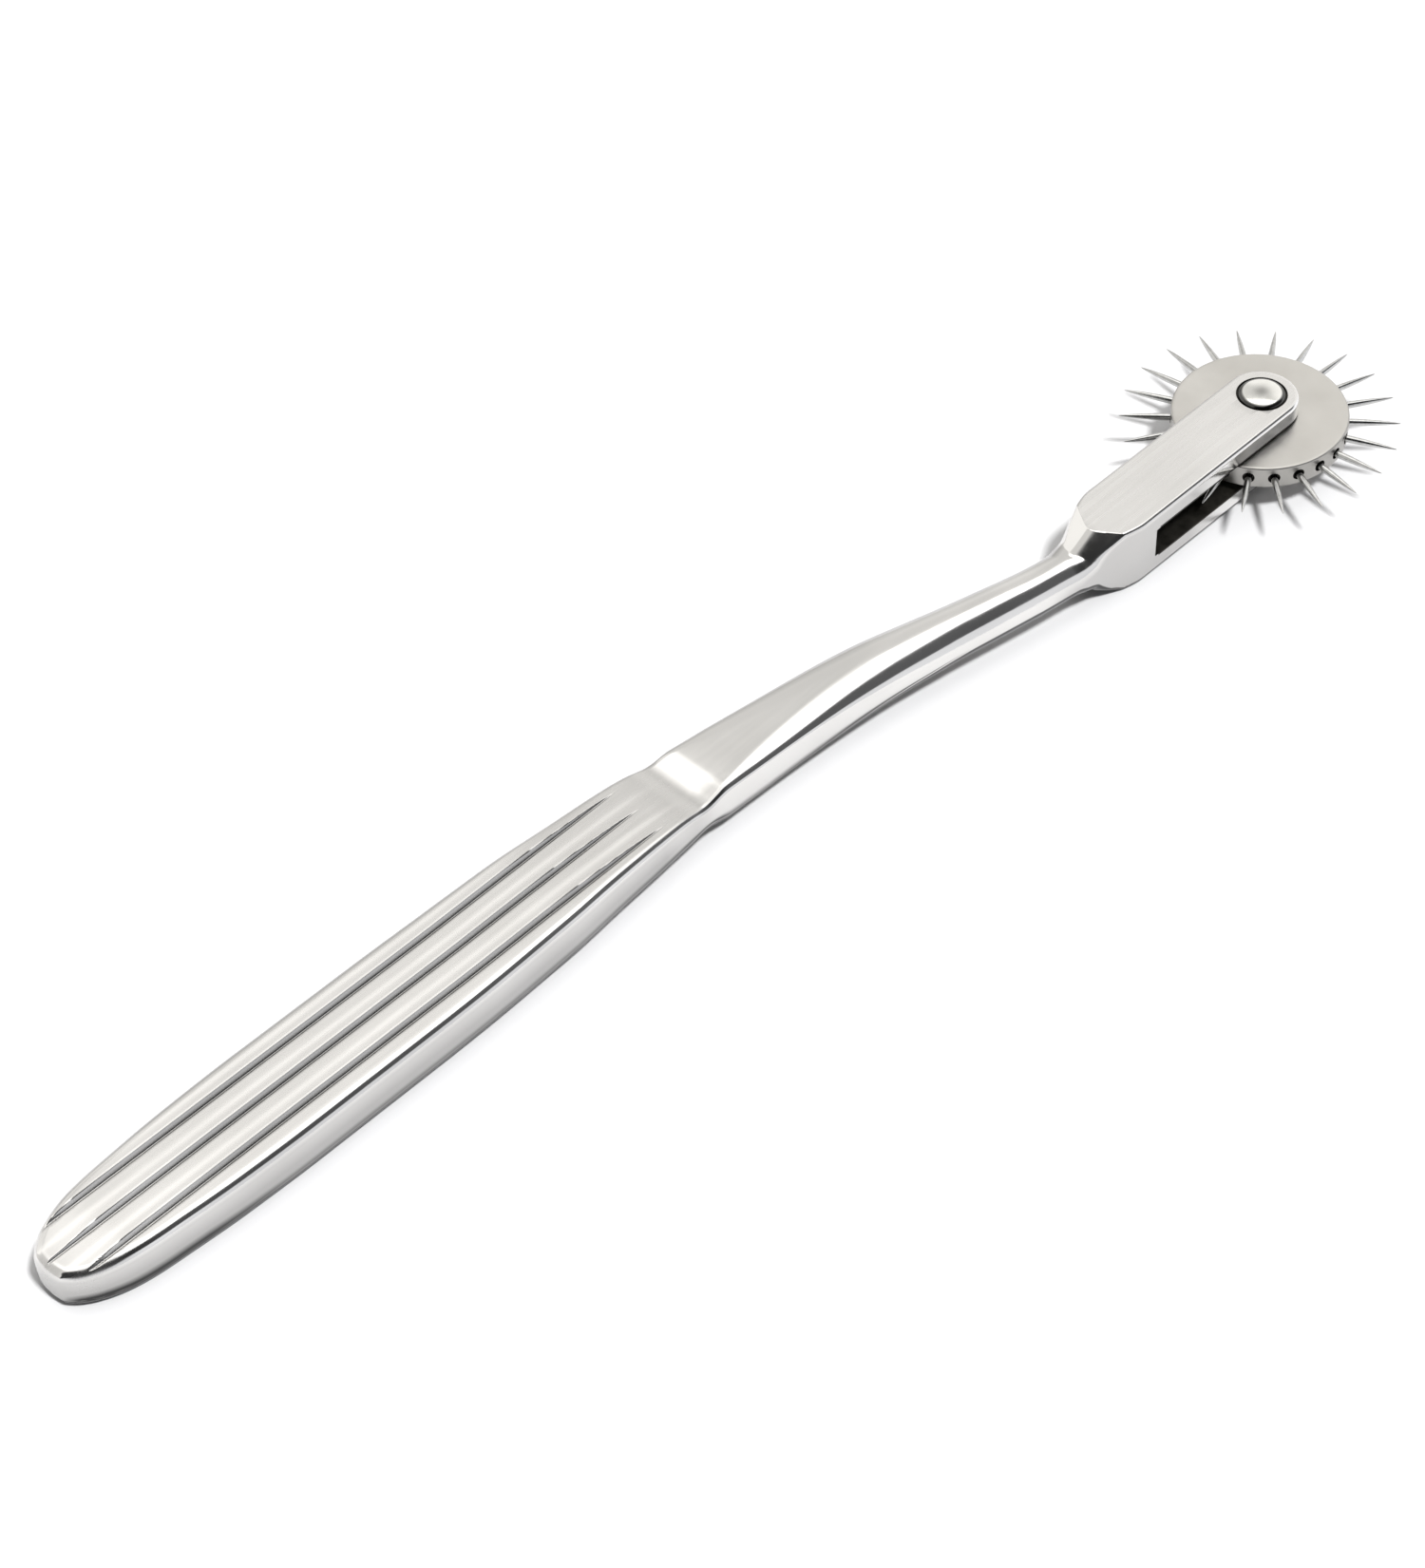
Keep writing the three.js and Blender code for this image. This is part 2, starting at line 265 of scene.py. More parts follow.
def distance_to_outline(d, y, outline):
    """Distance in plan from the points (d, y) to the forging's outline near one of its ends."""
    start, stop = outline[:-1], outline[1:]
    run = stop - start
    length2 = np.maximum((run**2).sum(1), 1e-12)
    px = d - start[None, :, 0]
    py = y[:, None] - start[None, :, 1]
    share = np.clip((px * run[None, :, 0] + py * run[None, :, 1]) / length2[None, :], 0, 1)
    return np.sqrt(
        ((px - share * run[None, :, 0]) ** 2 + (py - share * run[None, :, 1]) ** 2).min(1)
    )


def smooth_min(a, b, reach):
    blend = np.clip(0.5 + 0.5 * (b - a) / reach, 0, 1)
    return b + (a - b) * blend - reach * blend * (1 - blend)


def from_groove(y):
    """Distance from the middle of the nearest of the three grooves."""
    return np.abs(y - GROOVE_PITCH * np.clip(np.round(y / GROOVE_PITCH), -1, 1))


def groove_height(y):
    """Height of the grooves' floors and walls above the middle plane at a distance from the axis."""
    away = np.sqrt(from_groove(y) ** 2 + GROOVE_FLOOR_ROUND**2) - GROOVE_FLOOR_ROUND
    return GROOVE_FLOOR + GROOVE_SLOPE * away


DISTANCES = np.linspace(-END_REACH, TABLE_END, TABLE_POINTS)
THICKNESSES = np.array([half_thickness(d) for d in DISTANCES])
SIDE_SETS = np.array([side_set(d) for d in DISTANCES])


def thickness_across(d, y):
    """Half the thickness at points across a section. The fork's ramp is bowed in plan."""
    if d < RAMP_START:
        return np.full(len(y), half_thickness(d))
    bow = RAMP_BOW * (np.sqrt(y**2 + RAMP_BOW_ROUND**2) - RAMP_BOW_ROUND)
    return np.interp(d - bow, DISTANCES, THICKNESSES)


def fine_section(d):
    """A fine outline (y, z) of a quarter section: FINE_POINTS over the top, then down the side."""
    width = max(plan_half_width(d), 0.0)
    thickness = half_thickness(d)
    least = least_corner(d)
    corner_y = min(max(least, roundness(d) * half_width(d)), half_width(d) - LEAST_FLAT)
    corner_z = min(max(least, corner_rise(d) * thickness), thickness - LEAST_FLAT)
    widening = plan_half_width(d + LEAN_STEP) - plan_half_width(max(d - LEAN_STEP, 0))
    lean = math.atan(widening / (2 * LEAN_STEP))
    corner_run = min(corner_y / max(math.cos(lean), LEAST_COSINE), width)
    bend = np.linspace(0, QUARTER_TURN, FINE_POINTS // 2)
    flat = np.linspace(0, max(width - corner_run, 0), FINE_POINTS // 2, endpoint=False)
    y = np.concatenate([flat, width - corner_run * (1 - np.sin(bend))])
    if d < END_REGION:
        inside = distance_to_outline(d, y, END_OUTLINE)
    elif d > AXLE_AT:
        inside = distance_to_outline(d, y, TIP_OUTLINE)
    else:
        inside = (width - y) * math.cos(lean)
    rest = 1 - np.clip(inside / corner_y, 0, 1)
    z = thickness_across(d, y) - corner_z * (1 - np.sqrt(np.maximum(0, 1 - rest**2)))
    if d < GROOVES_END:
        depth_left = np.clip((thickness - GROOVE_FLOOR) / GROOVE_LIP_FADE, LEAST_LIP, 1)
        z = smooth_min(z, groove_height(y), GROOVE_LIP * depth_left)
    side_z = np.linspace(z[-1], 0, FINE_SIDE_POINTS)[1:]
    crown = SIDE_CROWN * min(1, max(0, (RAMP_START - d) / SIDE_CROWN_FADE))
    crown *= min(1, width / CROWNED_FROM_WIDTH)
    bulge = crown * (1 - (side_z / max(z[-1], 1e-6)) ** 2) * min(1, z[-1] / CROWNED_FROM_HEIGHT)
    return np.concatenate([y, width + bulge]), np.concatenate([z, side_z]), width


def run_along(y, z):
    """Length along a section, counted longer by the grooves, so that they get more points."""
    weight = np.ones(len(y) - 1)
    middle = (y[1:] + y[:-1]) / 2
    for row in (0, GROOVE_PITCH):
        weight += GROOVE_DENSITY * np.exp(-(((middle - row) / GROOVE_NEAR) ** 2))
    return np.concatenate([[0], np.cumsum(weight * np.hypot(np.diff(y), np.diff(z)))])


def quarter_section(d):
    """Points (y, z) from the middle of the top to the middle of one side, about the centre."""
    y, z, width = fine_section(d)
    run = run_along(y, z)
    if run[-1] < NOTHING:
        return np.zeros(QUARTER_POINTS), np.zeros(QUARTER_POINTS)
    knots = KNOTS * min(1, max(0, width - KNOTS_TO_EDGE) / KNOTS[-1])
    marks = np.concatenate([np.interp(knots, y[:FINE_POINTS], run[:FINE_POINTS]), run[-1:]])
    stretches = [
        np.linspace(low, high, count, endpoint=False)
        for low, high, count in zip(marks, marks[1:], KNOT_COUNTS)
    ]
    wanted = np.concatenate([*stretches, run[-1:]])
    return np.interp(wanted, run, y), np.interp(wanted, run, z)


def forging_rings():
    rings = []
    for d in stations():
        y, z = quarter_section(d)
        ring_y = np.concatenate([y[:-1], y[::-1][:-1], -y[:-1], -y[::-1][:-1]])
        ring_z = np.concatenate([z[:-1], -z[::-1][:-1], -z[:-1], z[::-1][:-1]])
        ring_x = np.full(len(ring_y), OUTLINE_X + d)
        centre_y = HANDLE_AXIS_Y + side_set(d)
        rings.append(np.column_stack([ring_x, centre_y + ring_y, MID_Z + ring_z]))
    return rings


# ------------------------------------------------------------------ making meshes

# A test of where a face lies allows for rounding by one of these, in millimetres.
ABOUT = 0.01
JUST_OFF = 0.005


def new_object(name, bm):
    """An object from a bmesh whose vertices are in millimetres."""
    bmesh.ops.scale(bm, vec=(MM, MM, MM), verts=bm.verts)
    bmesh.ops.recalc_face_normals(bm, faces=bm.faces)
    mesh = bpy.data.meshes.new(name)
    bm.to_mesh(mesh)
    bm.free()
    obj = bpy.data.objects.new(name, mesh)
    bpy.context.scene.collection.objects.link(obj)
    return obj


def ring_bmesh(rings):
    """A skin over closed rings of points. A ring that has shrunk to nothing closes itself."""
    bm = bmesh.new()
    rows = [[bm.verts.new(tuple(p)) for p in ring] for ring in rings]
    around = len(rows[0])
    for low, high in zip(rows, rows[1:]):
        for i in range(around):
            j = (i + 1) % around
            bm.faces.new((low[i], low[j], high[j], high[i]))
    bmesh.ops.remove_doubles(bm, verts=bm.verts, dist=1e-4)
    bmesh.ops.dissolve_degenerate(bm, edges=bm.edges, dist=1e-5)
    return bm


def turned_rings(profile, segments):
    """Rings about +Z from (radius, height) pairs, which start and end on the axis or meet."""
    angles = np.linspace(0, 2 * math.pi, segments, endpoint=False)
    return [
        np.column_stack([r * np.cos(angles), r * np.sin(angles), np.full(segments, h)])
        for r, h in profile
    ]


def add_cylinder(bm, radius, height, segments, matrix):
    bmesh.ops.create_cone(
        bm,
        cap_ends=True,
        segments=segments,
        radius1=radius,
        radius2=radius,
        depth=height,
        matrix=matrix,
    )


def cut(obj, cutter, cutters_overlap=False):
    """Takes the cutter away from the object and deletes it."""
    modifier = obj.modifiers.new("cut", "BOOLEAN")
    modifier.operation = "DIFFERENCE"
    modifier.solver = "EXACT"
    modifier.use_self = cutters_overlap
    modifier.object = cutter
    settle(obj)
    bpy.data.objects.remove(cutter)


def settle(obj):
    """Applies all of an object's modifiers."""
    graph = bpy.context.evaluated_depsgraph_get()
    graph.update()
    mesh = bpy.data.meshes.new_from_object(obj.evaluated_get(graph))
    obj.modifiers.clear()
    old = obj.data
    obj.data = mesh
    mesh.name = old.name
    bpy.data.meshes.remove(old)


def smooth(obj, sharp_from):
    """Smooth shading, apart from edges that bend by more than an angle in degrees."""
    mesh = obj.data
    mesh.polygons.foreach_set("use_smooth", [True] * len(mesh.polygons))
    mesh.set_sharp_from_angle(angle=math.radians(sharp_from))


def store(obj, name, values):
    """Keeps a number for each vertex, which the object's material reads."""
    obj.data.attributes.new(name, "FLOAT", "POINT").data.foreach_set("value", values)


def vertex_vectors(obj, what):
    """One row for each vertex of an object's mesh: its place, "co", or its "normal"."""
    vertices = obj.data.vertices
    values = np.empty(3 * len(vertices))
    vertices.foreach_get(what, values)
    return values.reshape(-1, 3)


def from_axle(obj):
    """How far out from the wheel's axis each vertex is, in millimetres."""
    x, y, _ = (vertex_vectors(obj, "co") / MM - AXLE).T
    return np.hypot(x, y)


def bevel_edges(obj, chosen, width, segments):
    """Rounds the edges for which chosen(edge) is true. Width in millimetres."""
    bm = bmesh.new()
    bm.from_mesh(obj.data)
    edges = [e for e in bm.edges if len(e.link_faces) == 2 and chosen(e)]
    bmesh.ops.bevel(
        bm,
        geom=edges,
        offset=width * MM,
        offset_type="OFFSET",
        segments=segments,
        profile=0.5,
        affect="EDGES",
        clamp_overlap=True,
    )
    bm.to_mesh(obj.data)
    bm.free()


# ------------------------------------------------------------------ tones of the forging: painted light and shade

# A fade is a pair: where it starts, or stops, and how far it reaches.
HANDLE_ENDS = 84.0
HANDLE_FADE = 6.0
FACE_FROM = (0.3, 0.4)

# The grooved faces: each rib's crown has a painted highlight, RIB_SHIFT off its middle, towards -Y.
NECK_TONE = 1.0
FLANK_TONE = 0.9
CROWN_TONE = 1.12
RIB_SHIFT = 0.2
RIB_CROWN_REACH = 0.36
# Painted shade on the groove floors and on the grooves' near walls.
GROOVE_SHADE_DEPTH = 0.45
GROOVE_SHADE_REACH = 0.24
GROOVE_SHADE_HEIGHT = 0.35
WALL_DEPTH = 0.35
WALL_LEAN = 0.25
WALL_UNTIL = (0.9, 0.2)
GROOVES_FAINT_BEFORE = 20.0
FAINTEST = 0.35

# Upright sides: painted shade on the handle and the fork's root, painted light on the ears and their
# ends.
UPRIGHT_BELOW = 0.6
SIDE_DEPTH = 0.28
SIDE_FADE = 3.8
SIDE_FADE_DEPTH = 0.22
ROOT_FROM = (134.0, 4.0)
ROOT_SIDE_DEPTH = 0.26
EAR_FROM = (156.0, 6.0)
EAR_SIDE_LIGHT = 0.16
EAR_TIP_FROM = (163.0, 5.0)
EAR_TIP_LIGHT = 0.22

# The far side, which faces away from the key light.
FAR_DEPTH = 0.4
FAR_FROM_Y = (0.2, 0.3)
FAR_FROM_Z = (-0.2, 0.2)
FAR_FROM_X = (-0.3, 0.15)

# Painted shade on the valley's floor, and on the near end of the facet that climbs out of it.
VALLEY_DEPTH = 0.18
VALLEY_FLOOR = 83.5
VALLEY_REACH = 2.5
FACET_DEPTH = 0.36
FACET_MIDDLE = 86.7
FACET_REACH = 1.7
FACET_NEAR = (-1.5, 1.5)
FACET_LEVEL = (0.8, 0.05)

# Painted shade: the dark line under the sides, where the surface turns to face the floor.
UNDER_DEPTH = 0.93
UNDER_TURNS_AT = (14, 24)
UNDER_STARTS = (-0.03, -0.07)
UNDER_REACH = 0.08
UNDERSIDE_FROM = (-0.97, 0.1)


def fade_in(value, start, reach):
    """0 up to start, then rising to 1."""
    return np.clip((value - start) / reach, 0, 1)


def fade_out(value, stop, reach):
    """0 from stop onwards, and rising to 1 before it."""
    return np.clip((stop - value) / reach, 0, 1)


def bell(value, middle, reach, power=2):
    return np.exp(-(((value - middle) / reach) ** power))


def rib_tone(d, y, up, lean):
    """Grooved faces: painted highlights on rib crowns, painted shade on groove floors and near
    walls.
    """
    offset = np.abs(y + RIB_SHIFT)
    from_crown = offset - GROOVE_PITCH * (np.floor(offset / GROOVE_PITCH) + 0.5)
    crown = bell(from_crown, 0, RIB_CROWN_REACH)
    below_face = fade_out(up, np.interp(d, DISTANCES, THICKNESSES), GROOVE_SHADE_HEIGHT)
    groove_shade = bell(from_groove(y), 0, GROOVE_SHADE_REACH) * below_face
    wall = fade_in(-lean, 0, WALL_LEAN) * fade_out(from_groove(y), *WALL_UNTIL)
    faint = np.clip(d / GROOVES_FAINT_BEFORE, FAINTEST, 1)
    tone = FLANK_TONE + (CROWN_TONE - FLANK_TONE) * crown
    return tone * (1 - GROOVE_SHADE_DEPTH * faint * groove_shade) * (1 - WALL_DEPTH * faint * wall)


def side_tone(d, height, level, on_handle):
    """Upright sides: painted shade on the handle, more so lower down, and painted light on the ears.
    """
    upright = fade_out(level, UPRIGHT_BELOW, UPRIGHT_BELOW)
    downward = fade_out(height, SIDE_FADE / 2, SIDE_FADE)
    ear = fade_in(d, *EAR_FROM)
    root = fade_in(d, *ROOT_FROM) * (1 - ear)
    light = EAR_SIDE_LIGHT * ear + EAR_TIP_LIGHT * fade_in(d, *EAR_TIP_FROM)
    tone = 1 - (SIDE_DEPTH + SIDE_FADE_DEPTH * downward) * upright * on_handle
    return tone * (1 + (light - ROOT_SIDE_DEPTH * root) * upright)


def valley_tone(d, y, level):
    """The valley after the grooves: painted shade on its floor and at the near end of its facet."""
    near = fade_out(y, *FACET_NEAR) * fade_in(level, *FACET_LEVEL)
    tone = 1 - VALLEY_DEPTH * bell(d, VALLEY_FLOOR, VALLEY_REACH)
    return tone * (1 - FACET_DEPTH * near * bell(d, FACET_MIDDLE, FACET_REACH, 4))


def tone_of(points, normals):
    """Painted light and shade on the forging's steel at each point, from its place and the way it
    faces.
    """
    d = points[:, 0] - OUTLINE_X
    y = points[:, 1] - HANDLE_AXIS_Y - np.interp(d, DISTANCES, SIDE_SETS)
    height = points[:, 2] - MID_Z
    face_x, face_y, face_z = normals.T
    level = np.abs(face_z)
    on_handle = fade_out(d, HANDLE_ENDS, HANDLE_FADE)
    on_face = fade_in(level, *FACE_FROM) * on_handle
    tone = NECK_TONE + (rib_tone(d, y, np.abs(height), face_y) - NECK_TONE) * on_face
    tone *= side_tone(d, height, level, on_handle)
    # Painted shade on the far side, away from the key light.
    far = fade_in(face_y, *FAR_FROM_Y) * fade_in(face_z, *FAR_FROM_Z)
    tone *= 1 - FAR_DEPTH * far * fade_in(face_x, *FAR_FROM_X)
    tone *= valley_tone(d, y, level)
    # Painted shade along the line under the sides, where they turn to face the floor.
    start = np.interp(d, UNDER_TURNS_AT, UNDER_STARTS)
    under = fade_out(face_z, start, UNDER_REACH) * fade_in(face_z, *UNDERSIDE_FROM)
    return tone * (1 - UNDER_DEPTH * under)


# Where the surface tilts enough to be polished, and how far the polish keeps off the grooves.
POLISHED_BELOW = (0.985, 0.06)
POLISH_OFF_GROOVES = 1.6
GROOVES_UNPOLISHED_FADE = 4.0
NECK_POLISH_FADE = 8.0
RAMP_POLISH_FADE = 2.0


def polish_of(points, normals):
    """How polished the steel is: the handle's edges, the neck and the ramp are, the flats not."""
    d = points[:, 0] - OUTLINE_X
    y = points[:, 1] - HANDLE_AXIS_Y - np.interp(d, DISTANCES, SIDE_SETS)
    tilt = fade_out(np.abs(normals[:, 2]), *POLISHED_BELOW)
    grooved = fade_out(from_groove(y), POLISH_OFF_GROOVES, 1)
    grooved *= fade_out(d, HANDLE_ENDS, GROOVES_UNPOLISHED_FADE)
    neck = fade_in(d, HANDLE_ENDS, NECK_POLISH_FADE)
    neck *= fade_out(d, RAMP_TOP + 1, RAMP_POLISH_FADE)
    return np.maximum(tilt * (1 - grooved), neck)


# ------------------------------------------------------------------ the forging

FORGING_SHARP = 24
SLOT_EDGE = 0.22
SLOT_EDGE_SEGMENTS = 2
SLOT_EDGE_BEND = 50
# The share of the slot's rounded edge that takes the painted shade.
DARK_SHARE_OF_EDGE = 0.9
HOLE_SEGMENTS = 64
HOLE_CUT_LENGTH = 20
CUT_PAST = 3.0

# The narrow seat round a rivet head, sunk into the ear's outer face.
SEAT_GAP = 0.28
SEAT_UNDER_HEAD = 0.2
SEAT_DEPTH = 0.3
SEAT_SEGMENTS = 72

ON_EDGE = 2e-6
BOX_FACES = ((0, 1, 3, 2), (4, 6, 7, 5), (0, 4, 5, 1), (2, 3, 7, 6), (0, 2, 6, 4), (1, 5, 7, 3))


def slot_cutter():
    """The fork's slot: open at the tip and both sides, square at its inner end."""
    reach = FORK_RADIUS + CUT_PAST
    half = SLOT_WIDTH / 2
    bm = bmesh.new()
    corners = [
        bm.verts.new((x, y, z))
        for x in (SLOT_X, AXLE[0] + reach)
        for y in (-reach, reach)
        for z in (MID_Z - half, MID_Z + half)
    ]
    for face in BOX_FACES:
        bm.faces.new([corners[i] for i in face])
    return new_object("slot_cutter", bm)


def rivet_hole_cutter():
    bm = bmesh.new()
    place = Matrix.Translation(Vector(AXLE))
    add_cylinder(bm, RIVET_HOLE_RADIUS, HOLE_CUT_LENGTH, HOLE_SEGMENTS, place)
    return new_object("hole_cutter", bm)


def seat_cutter(side):
    face = MID_Z + side * FORK_HALF_THICKNESS
    inner, outer = HEAD_RADIUS - SEAT_UNDER_HEAD, HEAD_RADIUS + SEAT_GAP
    low, high = face - SEAT_DEPTH, face + SEAT_DEPTH
    profile = [(inner, low), (outer, low), (outer, high), (inner, high), (inner, low)]
    bm = ring_bmesh(turned_rings(profile, SEAT_SEGMENTS))
    bmesh.ops.translate(bm, vec=(AXLE[0], AXLE[1], 0), verts=bm.verts)
    return new_object("seat_cutter", bm)


def on_slot_edge(edge):
    """Whether an edge of the forging is one that the slot's cut has left sharp."""
    a, b = (v.co for v in edge.verts)
    if min(a.x, b.x) < SLOT_X * MM - 1e-6:
        return False
    level = any(
        abs(a.z - z) < ON_EDGE and abs(b.z - z) < ON_EDGE
        for z in ((MID_Z + side * SLOT_WIDTH / 2) * MM for side in (-1, 1))
    )
    return level and edge.calc_face_angle(0) > math.radians(SLOT_EDGE_BEND)


def make_forging():
    obj = new_object("forged_handle_and_fork", ring_bmesh(forging_rings()))
    cut(obj, slot_cutter())
    cut(obj, rivet_hole_cutter())
    for side in (1, -1):
        cut(obj, seat_cutter(side))
    bevel_edges(obj, on_slot_edge, SLOT_EDGE, SLOT_EDGE_SEGMENTS)
    smooth(obj, FORGING_SHARP)
    points, normals = vertex_vectors(obj, "co") / MM, vertex_vectors(obj, "normal")
    store(obj, "tone", tone_of(points, normals))
    store(obj, "polish", polish_of(points, normals))
    return obj


def in_slot(polygon):
    """Whether a face of the forging is a wall of the slot or of a rivet head's seat."""
    x, y, z = (c / MM for c in polygon.center)
    up = abs(z - MID_Z)
    if x > SLOT_X - ABOUT and up < SLOT_WIDTH / 2 + SLOT_EDGE * DARK_SHARE_OF_EDGE:
        return True
    out = math.hypot(x - AXLE[0], y - AXLE[1])
    return out < HEAD_RADIUS + SEAT_GAP + ABOUT and up < FORK_HALF_THICKNESS - JUST_OFF


# ------------------------------------------------------------------ the wheel

DISC_SHARP = 32
DISC_SEGMENTS = 176
DISC_CHAMFER = 0.22
CHAMFER_STEPS = 4
DISC_FACE_RINGS = (DISC_RADIUS - 0.5, 4.0, RIVET_HOLE_RADIUS)
# Painted shade darkens the disc's rim.
RIM_DEPTH = 0.35
RIM_FROM = (0.2, 0.15)

# Each pin's hole, and its wider mouth. Lengths are from the wheel's axis.
PIN_HOLE_RADIUS = 0.48
PIN_HOLE_FLOOR = 7.0
MOUTH_RADIUS = 0.72
MOUTH_FLOOR = 9.95
CUT_OVERLAP = 0.1
CUT_PAST_RIM = 1

PIN_SHARP = 40
PIN_SEGMENTS = 20
PIN_RADIUS = 0.42
PIN_ROOT = 7.05
PIN_ROOT_SHARE = 0.8
PIN_ROOT_EDGE = 0.1
PIN_RINGS = (8.5, 9.8, 10.5)
PIN_SHOULDER = 11.0
TIP_RADIUS = 16.4
FIRST_PIN_ANGLE = math.radians(-1.4)
# The ground point: shares of its length, and of the pin's radius there.
PIN_TAPER = [(0.25, 0.93), (0.5, 0.77), (0.7, 0.58), (0.86, 0.36), (0.95, 0.2), (0.985, 0.1)]


def along_pin(index):
    """Takes a shape that stands along +Z to a pin's place along its spoke of the wheel."""
    angle = FIRST_PIN_ANGLE + 2 * math.pi * (index - 1) / PIN_COUNT
    return (
        Matrix.Translation(Vector(AXLE))
        @ Matrix.Rotation(angle, 4, "Z")
        @ Matrix.Rotation(QUARTER_TURN, 4, "Y")
    )


def disc_profile():
    """The disc's section: two flat faces, rounded at the rim, with the rivet's hole."""
    upper = []
    for step in range(CHAMFER_STEPS + 1):
        bend = QUARTER_TURN * step / CHAMFER_STEPS
        radius = DISC_RADIUS - DISC_CHAMFER * (1 - math.cos(bend))
        upper.append((radius, DISC_HALF - DISC_CHAMFER * (1 - math.sin(bend))))
    upper += [(radius, DISC_HALF) for radius in DISC_FACE_RINGS]
    lower = [(r, -h) for r, h in upper[::-1]]
    return lower + upper + lower[:1]


def pin_hole_cutters():
    bm = bmesh.new()
    for index in range(1, PIN_COUNT + 1):
        for radius, floor, ceiling in (
            (PIN_HOLE_RADIUS, PIN_HOLE_FLOOR, MOUTH_FLOOR + CUT_OVERLAP),
            (MOUTH_RADIUS, MOUTH_FLOOR, DISC_RADIUS + CUT_PAST_RIM),
        ):
            place = along_pin(index) @ Matrix.Translation((0, 0, (ceiling + floor) / 2))
            add_cylinder(bm, radius, ceiling - floor, PIN_SEGMENTS, place)
    return new_object("pin_hole_cutters", bm)


def make_disc():
    obj = new_object("turned_wheel_disc", ring_bmesh(turned_rings(disc_profile(), DISC_SEGMENTS)))
    obj.data.transform(Matrix.Translation(Vector(AXLE) * MM))
    cut(obj, pin_hole_cutters(), cutters_overlap=True)
    smooth(obj, DISC_SHARP)
    from_rim, reach = RIM_FROM
    rim = fade_in(from_axle(obj), DISC_RADIUS - from_rim, reach)
    store(obj, "tone", 1 - RIM_DEPTH * rim)
    return obj


def in_pin_hole(polygon):
    """Whether a face of the disc is a wall or the floor of a pin's hole."""
    x, y, z = (c / MM for c in polygon.center)
    out = math.hypot(x - AXLE[0], y - AXLE[1])
    if out < PIN_HOLE_FLOOR - CUT_OVERLAP or out > DISC_RADIUS - JUST_OFF:
        return False
    return abs(z - AXLE[2]) < MOUTH_RADIUS + JUST_OFF


def make_pin(index):
    length = TIP_RADIUS - PIN_SHOULDER
    profile = [(0, PIN_ROOT), (PIN_RADIUS * PIN_ROOT_SHARE, PIN_ROOT)]
    profile += [(PIN_RADIUS, PIN_ROOT + PIN_ROOT_EDGE)]
    profile += [(PIN_RADIUS, r) for r in (*PIN_RINGS, PIN_SHOULDER)]
    profile += [(share * PIN_RADIUS, PIN_SHOULDER + along * length) for along, share in PIN_TAPER]
    profile += [(0, TIP_RADIUS)]
    bm = ring_bmesh(turned_rings(profile, PIN_SEGMENTS))
    bmesh.ops.transform(bm, matrix=along_pin(index), verts=bm.verts)
    obj = new_object(f"needle_{index:02d}", bm)
    smooth(obj, PIN_SHARP)
    return obj


# ------------------------------------------------------------------ the rivet

RIVET_SHARP = 50
RIVET_SEGMENTS = 72
RIVET_RADIUS = 1.5
HEAD_OFF_EAR = 0.03
HEAD_UNDER = FORK_HALF_THICKNESS + HEAD_OFF_EAR
# Shares of the head's radius, and of its height there.
HEAD_SHAPE = [
    (1.0, 0.0), (0.985, 0.13), (0.95, 0.29), (0.9, 0.45), (0.85, 0.58), (0.82, 0.64),
    (0.75, 0.71), (0.6, 0.825), (0.45, 0.905), (0.38, 0.93), (0.3, 0.96), (0.22, 0.98),
    (0.15, 0.99), (0.07, 0.997),
]
# A painted dark reflection in the middle of the head, and painted shade on its flank.
CENTRE_DEPTH = 0.55
CENTRE_REACH = 0.4
FLANK_DEPTH = 0.9
FLANK_FROM = (0.83, 0.03)


def make_rivet():
    rise = HEAD_CROWN - HEAD_UNDER
    upper = [(RIVET_RADIUS, 0.0), (RIVET_RADIUS, HEAD_UNDER)]
    upper += [(HEAD_RADIUS * share, HEAD_UNDER + rise * up) for share, up in HEAD_SHAPE]
    upper += [(0, HEAD_CROWN)]
    profile = [(r, -h) for r, h in upper[::-1]] + upper[1:]
    bm = ring_bmesh(turned_rings(profile, RIVET_SEGMENTS))
    bmesh.ops.translate(bm, vec=(AXLE[0], AXLE[1], MID_Z), verts=bm.verts)
    obj = new_object("domed_axle_rivet", bm)
    smooth(obj, RIVET_SHARP)
    out = from_axle(obj) / HEAD_RADIUS
    tone = 1 - CENTRE_DEPTH * bell(out, 0, CENTRE_REACH)
    store(obj, "tone", tone * (1 - FLANK_DEPTH * fade_in(out, *FLANK_FROM)))
    return obj


# ------------------------------------------------------------------ materials


